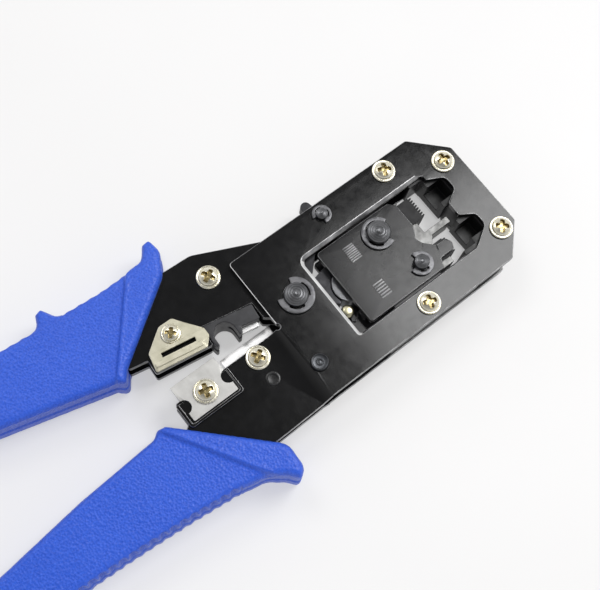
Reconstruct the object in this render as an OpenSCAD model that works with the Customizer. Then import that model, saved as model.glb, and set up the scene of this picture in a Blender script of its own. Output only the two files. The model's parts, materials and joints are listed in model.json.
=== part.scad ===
// Ratchet crimping tool for modular plugs, lying flat with its handles open.
// Origin: main pivot axis, at the plane the tool rests on. +X points to the tip of the
// head, +Y to the moving handle, +Z out of the front face. Units are millimetres.

/* [Head] */
// Thickness over both head plates
head_t = 14; // [13.6:0.2:14.4]
// Thickness of each steel plate
plate_t = 2; // [1.9:0.05:2]
// Height of the head's rear face above the rest plane
rear_gap = 1.6; // [1.5:0.1:1.8]
// Distance from the pivot axis to the flat tip of the head
head_tip = 75.2; // [74.6:0.1:76]

/* [Motion] */
// Angle that the moving handle closes through, in degrees
swing = 11; // [8:0.5:11]
// Travel of the die carriage for that angle
stroke = 2; // [1.6:0.1:2]
// Gap between faces of different moving bodies
gap = 0.3; // [0.2:0.05:0.35]
// Radial clearance of a pin that turns in its hole
fit = 0.05; // [0.02:0.01:0.08]

/* [Plug nests] */
// Width of the nest for plugs with eight contacts
nest8_w = 12.2; // [12:0.1:12.4]
// Width of the nest for plugs with six contacts
nest6_w = 10; // [9.9:0.1:10.2]
// Distance between the teeth that seat the contacts
contact_pitch = 1.02; // [1:0.01:1.04]

/* [Grips] */
// Thickness of the moulded grips
grip_t = 17; // [16.4:0.2:18]
// Distance from the pivot axis to the rear end of the fixed grip
grip_reach = 138.5; // [136:0.5:144]
// Spacing of the finger serrations
serration = 3.4; // [3:0.1:4]

/* [Hidden] */
$fn = 48;
e = 0.01;

// Heights
z_rear = rear_gap;
z_front = rear_gap + head_t;
z_mid = rear_gap + head_t / 2;
z_in = z_front - plate_t;
arm_top = z_in - gap;
arm_low = arm_top - plate_t;
core_t = 2 * (arm_low - z_mid);
clip_t = 0.8;

// Head outline
head_left = -10.8;
head_top = 21.3;
head_bottom = -32.4;
joggle_left = -14;
arm_edge = -4.9;

// Window in both head plates, and the nests behind it
win_left = 9;
win_top = 8.2;
win_bottom = -22.1;
nest_wall = 59.7;
nest8_top = 7.3;
nest8_bottom = nest8_top - nest8_w;
nest6_mid = -15.5;
latch_end = 65.7;

// Pins and screws, by their centres
pawl_at = [24, 16.9];
rivet_at = [-7.6, -21.7];
eyelet_at = [-21.9, -16.6];
anchor_at = [11.3, -13.2];
head_screw_at = [[50.6, 16.85], [69.3, 7.8], [69.3, -22.1], [32.8, -27.5]];
strip_screw_at = [-21.6, -8.5];
cutter_screw_at = [-41.1, -7.5];
arm_screw_at = [-18.2, 22.1];
flat_screw_at = [-38.8, 13.9];
pin_large_at = [35.2, 0.9];
pin_small_at = [39.9, -15.5];
roller_at = [17.5, -6.5];

pivot_r = 4;
pawl_pin_r = 2;
rivet_r = 2;
screw_r = 1.95;
screw_hole_r = 2;
small_screw_r = 1.45;
small_hole_r = 1.5;
pan_r = 4;
pan_h = 2.5;
small_pan_r = 3.2;
small_pan_h = 1.8;
pin_large_r = 4;
pin_small_r = 2.5;
roller_r = 6;
roller_pin_r = 2;
roller_half = 3.4;
hub_r = 9;

// Carriage
car_left = 14.3;
car_top = 7.5;
car_bottom = -21.2;
car_face = z_front - 1.2;
car_in = car_face - plate_t;
core_left = 24;
core_right = 44;
rail_top = 10;
rail_bottom = -24.5;
comb_face = 53.3;
comb_back = 47;

// Ratchet
tooth_tip_r = 20.8;
tooth_root_r = 19.4;
tooth_pitch = 3;
tooth_first = 31;
tooth_count = 6;

// Colours
black_steel = [0.11, 0.11, 0.12];
grey_black = [0.26, 0.26, 0.28];
zinc = [0.82, 0.80, 0.72];
bright_steel = [0.80, 0.80, 0.79];
clip_steel = [0.42, 0.42, 0.43];
brass = [0.80, 0.74, 0.48];
blue = [0.22, 0.40, 0.88];

function unit(v) = v / norm(v);
function xy(p) = [p[0], p[1]];

// Arc that rounds corner p1 of an outline, whose third value is its radius
function corner(p0, p1, p2, n = 6) =
    let (a = unit(xy(p0) - xy(p1)), b = unit(xy(p2) - xy(p1)), half = acos(a * b) / 2,
         c = xy(p1) + unit(a + b) * p1[2] / sin(half), s = xy(p1) + a * p1[2] / tan(half) - c,
         f = xy(p1) + b * p1[2] / tan(half) - c, a0 = atan2(s[1], s[0]),
         turn = (atan2(f[1], f[0]) - a0 + 540) % 360 - 180)
    [for (i = [0:n]) c + p1[2] * [cos(a0 + turn * i / n), sin(a0 + turn * i / n)]];

// Outline with rounded corners, from points [x, y, radius]
function rounded(p, n = 6) =
    [for (i = [0:len(p) - 1])
        let (q = p[(i + len(p) - 1) % len(p)], r = p[(i + 1) % len(p)])
        each (p[i][2] > 0 ? corner(q, p[i], r, n) : [xy(p[i])])];

// Ring of points round a path, for a wire of radius r
function ring(at, along, ref, r, n) =
    let (side = unit(cross(along, ref)), up = unit(cross(side, along)))
    [for (k = [0:n - 1]) at + r * (cos(360 * k / n) * side + sin(360 * k / n) * up)];

module wire(path, r, ref, n = 8) {
    m = len(path);
    rings = [for (i = [0:m - 1])
        each ring(path[i], path[min(i + 1, m - 1)] - path[max(i - 1, 0)], ref, r, n)];
    sides = [for (i = [0:m - 2], k = [0:n - 1])
        each [[i * n + k, i * n + (k + 1) % n, (i + 1) * n + k],
              [i * n + (k + 1) % n, (i + 1) * n + (k + 1) % n, (i + 1) * n + k]]];
    start = [[for (k = [0:n - 1]) n - 1 - k]];
    end = [[for (k = [0:n - 1]) (m - 1) * n + k]];
    polyhedron(points = rings, faces = concat(sides, start, end));
}

module slab(z0, z1, outline) {
    translate([0, 0, z0]) linear_extrude(z1 - z0) polygon(outline);
}

module block(x0, x1, y0, y1, z0, z1) {
    translate([x0, y0, z0]) cube([x1 - x0, y1 - y0, z1 - z0]);
}

module hole(at, r, z0 = -1, z1 = 30) {
    translate([at[0], at[1], z0]) cylinder(r = r, h = z1 - z0);
}

// The same shape on the rear side of the tool
module to_rear() {
    translate([0, 0, 2 * z_mid]) mirror([0, 0, 1]) children();
}

// Pan head with a cross recess, seated at z, with its shank down to z_end
module pan_screw(at, z, z_end, head_r, head_h, shank_r) {
    sphere_r = (head_r * head_r + head_h * head_h) / (2 * head_h) * 1.25;
    arm_l = head_r * 1.15;
    arm_w = head_r * 0.24;
    difference() {
        translate([at[0], at[1], z]) intersection() {
            cylinder(r = head_r, h = head_h);
            translate([0, 0, head_h - sphere_r]) sphere(r = sphere_r, $fn = 64);
        }
        for (a = [20, 110])
            translate([at[0], at[1], z + head_h * 0.4]) rotate(a)
                translate([-arm_l / 2, -arm_w / 2, 0]) cube([arm_l, arm_w, head_h]);
    }
    hole(at, shank_r, z_end, z);
}

module hex_nut(at, z0, z1, across, bore_r) {
    difference() {
        translate([at[0], at[1], z0]) rotate(12)
            cylinder(r = across / sqrt(3), h = z1 - z0, $fn = 6);
        hole(at, bore_r, z0 - 1, z1 + 1);
    }
}

// Pin with a domed front end, and a groove for a clip near each end
module grooved_pin(at, r, z0, z1, groove_low, groove_high) {
    g = r * 0.78;
    translate([at[0], at[1], 0]) rotate_extrude() polygon([
        [0, z0], [r - 0.4, z0], [r, z0 + 0.3], [r, groove_low], [g, groove_low],
        [g, groove_low + clip_t + 0.1], [r, groove_low + clip_t + 0.1], [r, groove_high],
        [g, groove_high], [g, groove_high + clip_t + 0.1], [r, groove_high + clip_t + 0.1],
        [r, z1 - 0.9], [r * 0.93, z1 - 0.5], [r * 0.72, z1 - 0.15], [r * 0.45, z1], [0, z1]]);
}

// Clip with a mouth 84 degrees wide, centred on the angle turn
module e_clip(at, z, r_out, pin_r, turn) {
    g = pin_r * 0.78 + 0.03;
    relief = pin_r + 0.3 * (r_out - pin_r);
    mouth = 42;
    far = 2 * r_out;
    translate([at[0], at[1], z]) rotate(turn) linear_extrude(clip_t) difference() {
        circle(r = r_out);
        circle(r = g);
        polygon([[0, 0], [far * cos(mouth), far * sin(mouth)], [far, 0],
                 [far * cos(mouth), -far * sin(mouth)]]);
        for (a = [86, 206])
            intersection() {
                circle(r = relief);
                polygon([[0, 0], [far * cos(a), far * sin(a)], [far * cos(a + 34), far * sin(a + 34)],
                         [far * cos(a + 68), far * sin(a + 68)]]);
            }
    }
}

// ---- Fixed body: the head, the fixed arm and what is fastened to them ----

head_outline = rounded([
    [head_left, head_bottom, 0], [65.4, head_bottom, 1.5], [head_tip, -22.6, 1.5],
    [head_tip, 10.2, 1.5], [64, head_top, 1.5], [head_left, head_top, 1.2]]);

window_outline = rounded([
    [win_left, win_bottom, 0.8], [59, win_bottom, 1.5], [66, -17.8, 2.3], [66, -13.2, 2.3],
    [61, -10.2, 1], [61, -4.8, 1], [66.3, -2, 2.2], [66.3, 3, 2.2], [60.4, 6, 0.8],
    [60.4, win_top, 1], [win_left, win_top, 2]]);

fixed_arm_outline = rounded([
    [joggle_left, arm_edge, 0], [-50.8, arm_edge, 0.6], [-50.8, -12, 0.8], [-58, -17, 2],
    [-112, -17, 2], [-112, -29.5, 2], [-56, -29.5, 4], [-40, -33, 4], [joggle_left, -32.6, 0]]);

module window_rim() {
    hull() {
        slab(z_front - 1.1, z_front - 1, rounded([
            [win_left, win_bottom, 0.8], [58, win_bottom, 0.8], [58, win_top, 0.8], [win_left, win_top, 2]]));
        slab(z_front, z_front + 0.1, rounded([
            [win_left - 1.1, win_bottom - 0.4, 1], [59, win_bottom - 0.4, 1],
            [59, win_top + 1.1, 1], [win_left - 1.1, win_top + 1.1, 3]]));
    }
}

// One side plate: the head, the bend inwards, and the fixed arm
module side_plate() {
    difference() {
        union() {
            slab(z_in, z_front, head_outline);
            slab(arm_low, arm_top, fixed_arm_outline);
            translate([0, arm_edge, 0]) rotate([90, 0, 0]) linear_extrude(arm_edge + 32.5) polygon([
                [head_left + 0.2, z_front], [head_left, z_front], [joggle_left, arm_top],
                [joggle_left - 0.2, arm_top], [joggle_left - 0.2, arm_low], [joggle_left, arm_low],
                [head_left, z_in], [head_left + 0.2, z_in]]);
        }
        slab(z_in - 1, z_front + 1, window_outline);
        window_rim();
        hole([head_left - 0.1, arm_edge + 0.3], 0.9);
        hole([0, 0], pivot_r + fit);
        hole(pawl_at, pawl_pin_r + fit);
        hole(rivet_at, rivet_r);
        hole(eyelet_at, rivet_r);
        hole(strip_screw_at, screw_hole_r);
        hole(cutter_screw_at, screw_hole_r);
        for (p = head_screw_at) hole(p, screw_hole_r);
    }
}

module head_front_plate() {
    color(black_steel) side_plate();
}

module head_rear_plate() {
    color(black_steel) to_rear() side_plate();
}

// Block between the head plates with the two plug nests, open on both faces
module die_nest_block() {
    low6 = nest6_mid - nest6_w / 2;
    high6 = nest6_mid + nest6_w / 2;
    latch_floor = z_mid - 1.5;
    color(black_steel) difference() {
        slab(z_rear + plate_t, z_in, rounded([
            [54.5, -31.6, 1], [65, -31.6, 1], [head_tip - 0.7, -22.2, 1], [head_tip - 0.7, 9.9, 1],
            [63.6, 20.6, 1], [56.6, 20.6, 0.5], [56.6, 11, 0.5], [54.5, 9, 0.5]]));
        block(50, nest_wall, nest8_bottom, nest8_top, 0, 20);
        block(50, nest_wall, low6, high6, 0, 20);
        block(50, 61.2, high6 - e, nest8_bottom + e, 0, 20);
        block(nest_wall - e, latch_end, -2.6, 4, latch_floor, 20);
        block(nest_wall - e, latch_end, nest6_mid - 3, nest6_mid + 3, latch_floor, 20);
        hole(head_screw_at[1], screw_hole_r);
        hole(head_screw_at[2], screw_hole_r);
    }
}

module upper_guide_bar() {
    color(grey_black) difference() {
        slab(z_rear + plate_t, z_in, rounded([
            [31, rail_top + gap, 0.6], [56, rail_top + gap + 1, 0.6], [56, 20.6, 0.6], [31, 20.6, 0.6]]));
        hole(head_screw_at[0], screw_hole_r);
    }
}

// Rail below the carriage, with a tab on its left that holds the spring anchor
module lower_guide_bar() {
    top = rail_bottom - gap;
    color(grey_black) difference() {
        union() {
            slab(z_rear + plate_t, z_in, rounded([
                [15, -31.8, 0.6], [53.8, -31.8, 0.6], [53.8, top, 0.6], [15, top, 0.6]]));
            slab(z_mid - 3.6, z_mid + 1, rounded([
                [9.2, -29, 0.6], [17, -29, 0], [17, top, 0], [13.4, top, 0], [13.4, -11.6, 1.8],
                [9.2, -11.6, 1.8]]));
        }
        hole(anchor_at, 1.3);
        hole(head_screw_at[3], screw_hole_r);
    }
}

module head_screws() {
    color(zinc) for (p = head_screw_at)
        pan_screw(p, z_front, 0, pan_r, pan_h, screw_r);
}

module head_nuts() {
    color(zinc) for (p = head_screw_at)
        hex_nut(p, 0, z_rear, 7, screw_r);
}

module main_pivot_pin() {
    color(clip_steel) grooved_pin([0, 0], pivot_r, 0, z_front + 3, 0.65, z_front + 0.05);
}

module main_pivot_clips() {
    color(clip_steel) {
        e_clip([0, 0], 0.7, 6.15, pivot_r, 63);
        e_clip([0, 0], z_front + 0.1, 6.15, pivot_r, 117);
    }
}

module pawl_pin() {
    color(clip_steel) grooved_pin(pawl_at, pawl_pin_r, 0.3, z_front + 2.2, 0.65, z_front + 0.05);
}

module pawl_pin_clips() {
    color(clip_steel) {
        e_clip(pawl_at, 0.7, 3.3, pawl_pin_r, 20);
        e_clip(pawl_at, z_front + 0.1, 3.3, pawl_pin_r, 215);
    }
}

// Coil round the pawl pin, with a leg to the guide bar and a leg over the pawl
module pawl_spring() {
    turns = 3;
    coil_r = 2.75;
    z0 = arm_top - 1.8;
    rise = 0.58;
    steps = 16;
    p = pawl_at;
    coil = [for (i = [0:turns * steps])
        [p[0] + coil_r * cos(360 * i / steps - 90), p[1] + coil_r * sin(360 * i / steps - 90),
         z0 + rise * i / steps]];
    color(clip_steel)
        wire(concat([[p[0] - 8, p[1] - coil_r + 0.5, z0], [p[0] - 4, p[1] - coil_r, z0]], coil,
            [[p[0] + 3, p[1] - coil_r, z0 + turns * rise], [p[0] + 6.6, p[1] - coil_r, z0 + turns * rise]]),
            0.26, [0, 0, 1]);
}

module lower_rivet() {
    color(clip_steel) translate([rivet_at[0], rivet_at[1], 0]) rotate_extrude() polygon([
        [0, 0.8], [2.4, 0.8], [2.8, 1.1], [2.8, z_rear], [rivet_r - 0.02, z_rear],
        [rivet_r - 0.02, z_front],
        [2.85, z_front], [2.85, z_front + 0.7], [2.5, z_front + 0.9], [2.1, z_front + 0.9],
        [1.9, z_front + 0.7], [1.1, z_front + 0.7], [0.9, z_front + 0.9], [0, z_front + 0.9]]);
}

// Hollow rivet through the fixed arm, where a lanyard can be tied
module eyelet_rivet() {
    low = 2 * z_mid - arm_top;
    color(clip_steel) translate([eyelet_at[0], eyelet_at[1], 0]) rotate_extrude() polygon([
        [1.5, low - 0.3], [2.35, low - 0.3], [2.35, low], [rivet_r, low], [rivet_r, arm_top],
        [2.35, arm_top], [2.35, arm_top + 0.3], [1.5, arm_top + 0.3]]);
}

module spring_anchor_screw() {
    z_tab = z_mid + 1;
    color(brass) translate([anchor_at[0], anchor_at[1], 0]) rotate_extrude() polygon([
        [0, z_tab - 3.4], [1.3, z_tab - 3.4], [1.3, z_tab + 1.2], [2.2, z_tab + 1.2],
        [2.2, z_tab + 1.9], [1.7, z_tab + 2.5], [0.9, z_tab + 2.7], [0, z_tab + 2.75]]);
}

// Tension spring that draws the carriage back and so opens the handles
module carriage_return_spring() {
    turns = 10;
    steps = 14;
    coil_r = 1.6;
    x0 = 14.4;
    length = 11.4;
    axis_y = -16.6;
    hook_z = z_mid + 1.5;
    coil = [for (i = [0:turns * steps])
        [x0 + length * i / (turns * steps), axis_y + coil_r * cos(360 * i / steps),
         z_mid + coil_r * sin(360 * i / steps)]];
    color(clip_steel)
        wire(concat([[11, anchor_at[1] - 1.7, hook_z], [10.9, -16.5, hook_z], [11.6, -17.2, hook_z],
                     [13, -16.4, z_mid + 1.4], [13.8, -15.6, z_mid + 1]], coil),
            0.26, [1, 0.02, 0.03]);
}

module lower_arm_spacer() {
    low = z_mid - core_t / 2;
    color(grey_black) difference() {
        slab(low, low + core_t, rounded([
            [-15.5, -31.5, 1], [-15.5, -6, 1], [-49.6, -6, 1], [-49.6, -12, 1], [-57, -18, 1],
            [-110, -18, 1], [-110, -28.5, 1], [-56, -28.5, 2], [-40, -31.5, 2]]));
        block(-31, -12, -14.4, 0, z_mid - 0.5, z_mid + 0.5);
        hole(strip_screw_at, screw_hole_r);
        hole(cutter_screw_at, screw_hole_r);
        hole(eyelet_at, rivet_r);
    }
}

// Shallow tray on the fixed arm that locates the cutter blade
module cutter_seat() {
    base = arm_top;
    color(black_steel) difference() {
        slab(base, base + 1.1, rounded([
            [-51.2, -14.3, 1], [-31.2, -14.3, 1],
            [-31.2, arm_edge - 0.6, 0.3], [-51.2, arm_edge - 0.9, 0.3]]));
        slab(base + 0.3, base + 2, rounded([
            [-50.2, -13.4, 0.6], [-32, -13.4, 0.6], [-32, 0, 0], [-50.2, 0, 0]]));
        hole(cutter_screw_at, screw_hole_r);
    }
}

// Steel blade with a bevelled cutting edge and a round notch in each side
module cutter_blade() {
    z0 = arm_top + 0.3;
    top = z0 + 0.8;
    color(bright_steel) difference() {
        slab(z0, top, rounded([[-49.3, -12.9, 0.3], [-32.6, -12.9, 0.3], [-32.6, 0, 0], [-49.3, 0, 0]]));
        translate([-51, 0, 0]) rotate([90, 0, 90]) linear_extrude(20) polygon([
            [-2.1, top + e], [e, top + e], [e, z0 + 0.15]]);
        hole([-49.3, -7.6], 2.3);
        hole([-32.6, -7.6], 2.3);
        hole(cutter_screw_at, screw_hole_r);
    }
}

module cutter_screw() {
    color(zinc) pan_screw(cutter_screw_at, arm_top + 1.1, 2, pan_r, 2.2, screw_r);
}

// Ground blade held between the plates of the fixed arm
module strip_blade() {
    z0 = z_mid - 0.5;
    color(bright_steel) difference() {
        slab(z0, z0 + 1, [[-31, -14.4], [-15.5, -14.4], [-15.5, -6], [-12, -5.2], [-12, -1.2], [-31, -1.2]]);
        translate([-32, 0, 0]) rotate([90, 0, 90]) linear_extrude(21) polygon([
            [-3.2, z0 + 1 + e], [0, z0 + 1 + e], [0, z0 + 0.2], [-1.2, z0 + 0.2]]);
        hole(strip_screw_at, screw_hole_r);
    }
}

module strip_blade_screw() {
    color(zinc) pan_screw(strip_screw_at, arm_top, 2, pan_r, pan_h, screw_r);
}

module lower_arm_nuts() {
    low = 2 * z_mid - arm_top;
    color(zinc) {
        hex_nut(cutter_screw_at, low - 2, low, 7, screw_r);
        hex_nut(strip_screw_at, low - 2, low, 7, screw_r);
    }
}

// Height of the serrated edge of the fixed grip at x
function grip_edge(x) = -32.6 - 6.1 * pow((x + grip_reach - 4.5) / (grip_reach - 51.5), 2);
serration_count = floor((grip_reach - 56) / serration);
serrated = [for (i = [0:serration_count - 1], k = [0:2])
    let (x = -(grip_reach - 6) + serration * (i + k / 3)) [x, grip_edge(x) + (k == 1 ? 0 : 0.45)]];

lower_grip_outline = concat(
    rounded([[-47.2, -38.9, 0], [-42, -39.9, 6], [-37, -43.6, 5], [-34.4, -47, 1.4], [-31, -44.5, 4],
             [-30.6, -35.5, 6], [-57.2, -8.6, 0.9], [-60.4, -8.2, 1.4], [-62.4, -9.7, 1],
             [-90, -11.6, 60], [-grip_reach, -17.6, 5], [-grip_reach, -32.4, 5],
             [-(grip_reach - 6.6), -32.4, 0]]),
    serrated);

upper_grip_outline = rounded([
    [-58.9, 8.3, 1.5], [-56, 12.2, 3], [-29.4, 30.6, 6], [-25.2, 38, 5], [-26, 43.6, 1.3],
    [-29.3, 43.2, 1], [-32.4, 39, 3], [-48, 38.6, 20], [-63.4, 39.6, 3], [-66.4, 45, 1],
    [-69, 44.2, 0.8], [-71, 40, 2.5], [-80, 40.7, 20], [-136.4, 45.8, 5], [-138.4, 30.9, 5],
    [-61.6, 10.8, 1.5]]);

// Moulded sleeve: its outline with stepped-in faces, hollowed for the arm inside it
module grip_body(outline) {
    inset = 1.4;
    slab(inset, grip_t - inset, outline);
    linear_extrude(inset) offset(delta = -inset) polygon(outline);
    translate([0, 0, grip_t - inset]) linear_extrude(inset) offset(delta = -inset) polygon(outline);
}

module lower_grip() {
    color(blue) difference() {
        grip_body(lower_grip_outline);
        slab(2 * z_mid - arm_top, arm_top, fixed_arm_outline);
    }
}

// ---- Moving handle ----

// One side plate of the moving arm: hub, arm and the tang inside the grip
module moving_plate() {
    difference() {
        union() {
            hole([0, 0], hub_r, arm_low, arm_top);
            slab(arm_low, arm_top, rounded([
                [0, -8.5, 0], [9, 2, 0], [9.6, 18.9, 1.5], [-18.5, 31.7, 6], [-34, 32.4, 2],
                [-112, 39.3, 2], [-112, 27.5, 2], [-60, 18.4, 2], [-55.4, 12.4, 0.6], [-49.5, 11.3, 0.4],
                [-49.8, 6.3, 0.8], [-30.2, 3.3, 0.5], [-29.7, 10.2, 0.2], [-12.2, 7, 0.2],
                [-12.2, 0.8, 0.8]]));
        }
        hole([0, 0], pivot_r + fit);
        hole(arm_screw_at, screw_hole_r);
        hole(flat_screw_at, small_hole_r);
    }
}

module upper_arm_front_plate() {
    color(black_steel) moving_plate();
}

module upper_arm_rear_plate() {
    color(black_steel) to_rear() moving_plate();
}

// Radius of the cam at angle a, so that it follows the roller through the whole swing
function cam_radius(a) = min([for (t = [0:0.5:swing])
    let (cx = roller_at[0] + stroke * t / swing, cy = roller_at[1], r = roller_r + 0.08,
         ux = cos(a + t), uy = sin(a + t), near = cx * ux + cy * uy, off = abs(cx * uy - cy * ux))
    off < r ? near - sqrt(r * r - off * off) : 15]);

// Hardened plate between the arm plates: the cam, the ratchet teeth and the tail
module cam_ratchet_plate() {
    low = z_mid - core_t / 2;
    teeth = [for (k = [0:tooth_count - 1])
        let (a = tooth_first + tooth_pitch * k)
        each [[tooth_root_r * cos(a), tooth_root_r * sin(a)],
              [tooth_tip_r * cos(a + 0.4), tooth_tip_r * sin(a + 0.4)],
              [tooth_root_r * cos(a + tooth_pitch), tooth_root_r * sin(a + tooth_pitch)]]];
    color(grey_black) difference() {
        union() {
            hole([0, 0], hub_r, low, low + core_t);
            slab(low, low + core_t, concat([[0, 0], [10.6, 4]],
                [for (k = [0:tooth_count * 3 - 1]) teeth[k]], [[9.4, 17.4], [2, 14]]));
            slab(low, low + core_t, concat([[0, 0]], [for (a = [-42:2:12])
                min(cam_radius(a), 15) * [cos(a), sin(a)]]));
            slab(low, low + core_t, rounded([
                [0, -6, 0], [4, 8, 0], [6, 16.5, 2], [-16, 27, 3], [-24, 23, 3], [-21, 17.5, 2],
                [-10, 12, 1], [-6, 5, 0]]));
        }
        hole([0, 0], pivot_r + fit);
        hole(arm_screw_at, screw_hole_r);
    }
}

module upper_arm_spacer() {
    low = z_mid - core_t / 2;
    color(grey_black) difference() {
        slab(low, low + core_t, rounded([
            [-31.5, 12, 1], [-31.5, 28, 2], [-44, 30, 2], [-110, 38.2, 1], [-110, 28.7, 1], [-58, 18.6, 2],
            [-48.5, 11.5, 1], [-48.5, 8, 1], [-33, 6, 1]]));
        hole(flat_screw_at, small_hole_r);
    }
}

module upper_arm_screw() {
    color(zinc) pan_screw(arm_screw_at, arm_top, 2, pan_r, pan_h, screw_r);
}

// Bent sheet with a slot: its lower part stands forward to pass over the cutter blade
module flat_stripper_plate() {
    t = 0.8;
    z0 = arm_top;
    lift = 1.4;
    outline = rounded([
        [-49.7, 6.1, 0.8], [-32.2, 3.3, 1.2], [-29.6, 6.2, 1], [-29.6, 9.7, 0.8], [-33.1, 14.3, 1.5],
        [-35.7, 18, 1.5], [-40.7, 18, 1.5], [-48.2, 12.7, 1.2]]);
    bend = [[-52, 11.9], [-26, 7.7]];
    color(bright_steel) difference() {
        union() {
            intersection() {
                slab(z0, z0 + t, outline);
                slab(z0 - 1, z0 + 5, [bend[0], bend[1], [-26, 25], [-52, 25]]);
            }
            intersection() {
                slab(z0 + lift, z0 + lift + t, outline);
                slab(z0 - 1, z0 + 5, [[-52, 0], [-26, 0], bend[1] + [0, t], bend[0] + [0, t]]);
            }
            intersection() {
                slab(z0, z0 + lift + t, outline);
                slab(z0 - 1, z0 + 5, [bend[0], bend[1], bend[1] + [0, t], bend[0] + [0, t]]);
            }
            slab(z0 + lift + t - e, z0 + lift + t + 0.4, rounded([
                [-48.9, 7.2, 0.6], [-32.6, 4.5, 0.6], [-32.3, 6, 0.6], [-48.6, 8.7, 0.6]]));
        }
        slab(z0 - 1, z0 + 5, [[-45.4, 8.9], [-33.9, 7], [-33.6, 8.4], [-45.1, 10.3]]);
        hole(flat_screw_at, small_hole_r);
    }
}

module flat_stripper_screw() {
    color(zinc) pan_screw(flat_screw_at, arm_top + 0.8, 2, small_pan_r, small_pan_h, small_screw_r);
}

module upper_arm_nuts() {
    low = 2 * z_mid - arm_top;
    color(zinc) {
        hex_nut(arm_screw_at, low - 2, low, 7, screw_r);
        hex_nut(flat_screw_at, low - 2, low, 5.5, small_screw_r);
    }
}

// Moulded block with a round notch for a cable, slit so that the lower blade can enter it
module round_strip_guide() {
    front = arm_top + 0.6;
    rear = 2 * z_mid - front;
    low = z_mid - core_t / 2;
    color(grey_black) difference() {
        union() {
            slab(rear, front, rounded([
                [-29.4, 10, 0.4], [-30, 4, 0.6], [-29.6, 1.8, 0.4], [-28.7, 1.8, 0.3], [-28.6, 4, 0],
                [-21.4, 4, 0], [-21.5, 0.9, 0.3], [-20.2, 1.1, 0.4], [-19.6, 2.7, 0.5],
                [-13.2, 1.3, 0.5], [-12.5, 6.8, 0.4]]));
            slab(low, low + core_t, rounded([
                [-29, 5, 0], [-13.5, 5, 0], [-13.5, 12, 1.5], [-29, 14, 1.5]]));
        }
        hole([-25, 4], 3.6);
        block(-40, -5, -5, 6.2, z_mid - 0.9, z_mid + 0.9);
        slab(z_mid + 1.3, z_mid + 2.3, [[-20.6, 6], [-20.6, -1], [-12, -1], [-12, 6]]);
    }
}

module upper_strip_blade() {
    color(bright_steel)
        slab(z_mid + 1.3, z_mid + 2.3, [[-20.6, 6], [-20.6, 1.4], [-18.8, 0.9], [-14.2, 0.1], [-13.6, 6]]);
}

module upper_grip() {
    color(blue) difference() {
        grip_body(upper_grip_outline);
        slab(2 * z_mid - arm_top, arm_top, rounded([
            [-24, 28, 0], [-18, 31.8, 0], [-34, 32.4, 2], [-112, 39.3, 2], [-112, 27.5, 2],
            [-60, 18.4, 2], [-55.4, 12.4, 0.6], [-48, 11, 0]]));
    }
}

// ---- Die carriage, which slides along the head ----

carriage_outline = rounded([
    [car_left, car_bottom, 1], [45.4, car_bottom, 0.8], [46.8, -18, 0.5], [52.4, -18, 1],
    [53.5, -15.7, 1.4], [52.4, -13.5, 1], [48.4, -13.5, 0.4], [45.2, -10.2, 0.8], [44.3, -7.8, 0.8],
    [46.7, -3.9, 0.5], [46.7, 5.2, 0.4], [44.6, car_top, 0.6], [car_left, car_top, 1.2]]);

// Row of raised bars that shows how many contacts the nest beside it takes
module contact_marks(mid_y, count, pitch) {
    for (i = [0:count - 1])
        block(22.2, 26.2, mid_y + (i - (count - 1) / 2) * pitch - 0.2,
            mid_y + (i - (count - 1) / 2) * pitch + 0.2, car_face - e, car_face + 0.3);
}

module carriage_plate() {
    difference() {
        slab(car_in, car_face, carriage_outline);
        hole(pin_large_at, pin_large_r);
        hole(pin_small_at, pin_small_r);
        hole(roller_at, roller_pin_r, 0, car_in + 1);
    }
}

module carriage_front_plate() {
    color(grey_black) {
        carriage_plate();
        contact_marks(0.9, 8, 0.75);
        contact_marks(-14.5, 6, 1);
    }
}

module carriage_rear_plate() {
    color(grey_black) to_rear() carriage_plate();
}

// Body of the carriage, with rails that run behind the edges of the window
module carriage_core() {
    low = 2 * z_mid - car_in;
    color(grey_black) difference() {
        union() {
            block(core_left, core_right, car_bottom, car_top, low, car_in);
            block(core_left, core_right, rail_bottom, win_bottom - 0.5, z_rear + plate_t + 0.2, z_in - 0.2);
            block(core_left, core_right, win_bottom - 0.6, car_bottom + 0.1, low, car_in);
            block(core_left, core_right, win_top + 0.5, rail_top, z_rear + plate_t + 0.2, z_in - 0.2);
            block(core_left, core_right, car_top - 0.1, win_top + 0.6, low, car_in);
        }
        hole(pin_large_at, pin_large_r);
        hole(pin_small_at, pin_small_r);
        translate([core_left - 1, -16.6, z_mid]) rotate([0, 90, 0]) cylinder(r = 2.3, h = 4);
    }
}

// Ground steel block behind the combs, with the finger that runs between the nests
module die_block() {
    low = 2 * z_mid - car_in;
    color(bright_steel) difference() {
        slab(low, car_in, [
            [core_right, -21], [50.4, -21], [50.4, -19], [48, -18.8], [48, -12.6], [50.6, -9.6],
            [58.6, -9.6], [58.6, -7.4], [49, -7.4], [49, -3.5],
            [48.2, -3.3], [48.2, 5.8], [core_right, 7.3]]);
        block(comb_back, 60, -3.2, 5.8 + e, 0, 20);
        block(comb_back, 60, nest6_mid - 3.25, nest6_mid + 3.25, 0, 20);
    }
}

// Comb whose teeth press the contacts into the plug
module contact_comb(mid_y, count, z0, z1) {
    half = (count * contact_pitch + 0.3) / 2;
    difference() {
        block(comb_back, comb_face, mid_y - half, mid_y + half, z0, z1);
        for (i = [0:count])
            block(comb_face - 1.1, comb_face + 1, mid_y + (i - count / 2) * contact_pitch - 0.28,
                mid_y + (i - count / 2) * contact_pitch + 0.28, z0 - 1, z1 + 1);
    }
}

module contact_comb_8() {
    color(black_steel) contact_comb(1.2, 8, z_mid - 3.4, z_mid + 3.5);
}

module contact_comb_6() {
    color(black_steel) contact_comb(nest6_mid, 6, z_mid - 3.4, z_mid + 3.5);
}

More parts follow.
